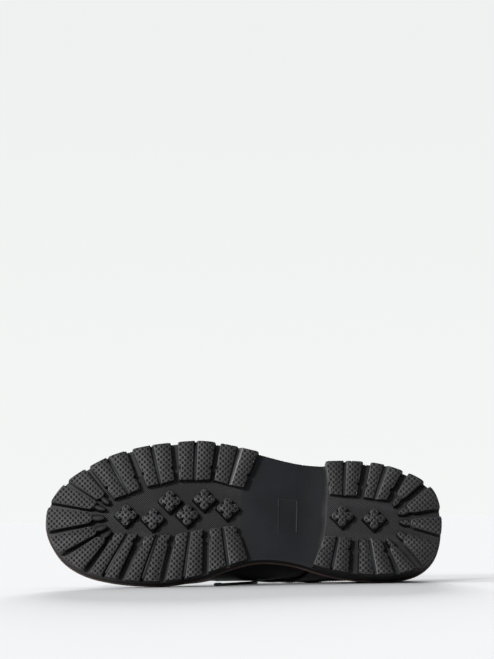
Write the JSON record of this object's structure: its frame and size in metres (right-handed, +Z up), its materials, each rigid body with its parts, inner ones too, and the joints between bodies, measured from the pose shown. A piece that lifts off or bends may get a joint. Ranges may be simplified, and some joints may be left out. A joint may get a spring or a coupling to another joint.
{
  "type": "lace-up shoe",
  "caption": "Black leather derby lace-up shoe for the left foot on a lugged rubber sole, lying on its inner side",
  "frame": {"origin": "Middle of the shoe's footprint on the floor, as it lies on its inner side: the floor is z = 0.", "axes": "+Z is up. +X runs towards the heel, and the toe points to -X. The sole faces -Y, tipped about 12 degrees up from level, and the collar opens towards +Y. The outer side of the foot is up."},
  "size_m": [0.3022, 0.1435, 0.1106],
  "materials": {
    "black_rubber": "matt, moulded",
    "brown_edge": "waxed edge",
    "black_leather": "smooth, lightly polished",
    "tan_insole": "plain",
    "black_enamel": "enamelled",
    "black_lace": "woven cord",
    "black_plastic": "smooth"
  },
  "bodies": {
    "root": {"outsole": "black_rubber", "heel": "black_rubber", "midsole": "brown_edge", "welt": "brown_edge", "upper": "black_leather", "quarter_outer": "black_leather", "quarter_inner": "black_leather", "backstay": "black_leather", "tongue": "black_leather", "insole": "tan_insole", "eyelet_outer_1": "black_enamel", "eyelet_outer_2": "black_enamel", "eyelet_outer_3": "black_enamel", "eyelet_outer_4": "black_enamel", "eyelet_outer_5": "black_enamel", "eyelet_inner_1": "black_enamel", "eyelet_inner_2": "black_enamel", "eyelet_inner_3": "black_enamel", "eyelet_inner_4": "black_enamel", "eyelet_inner_5": "black_enamel", "lace_bar_1": "black_lace", "lace_bar_2": "black_lace", "lace_bar_3": "black_lace", "lace_bar_4": "black_lace", "lace_end": "black_lace", "lace_tip": "black_plastic"}
  },
  "joints": []
}
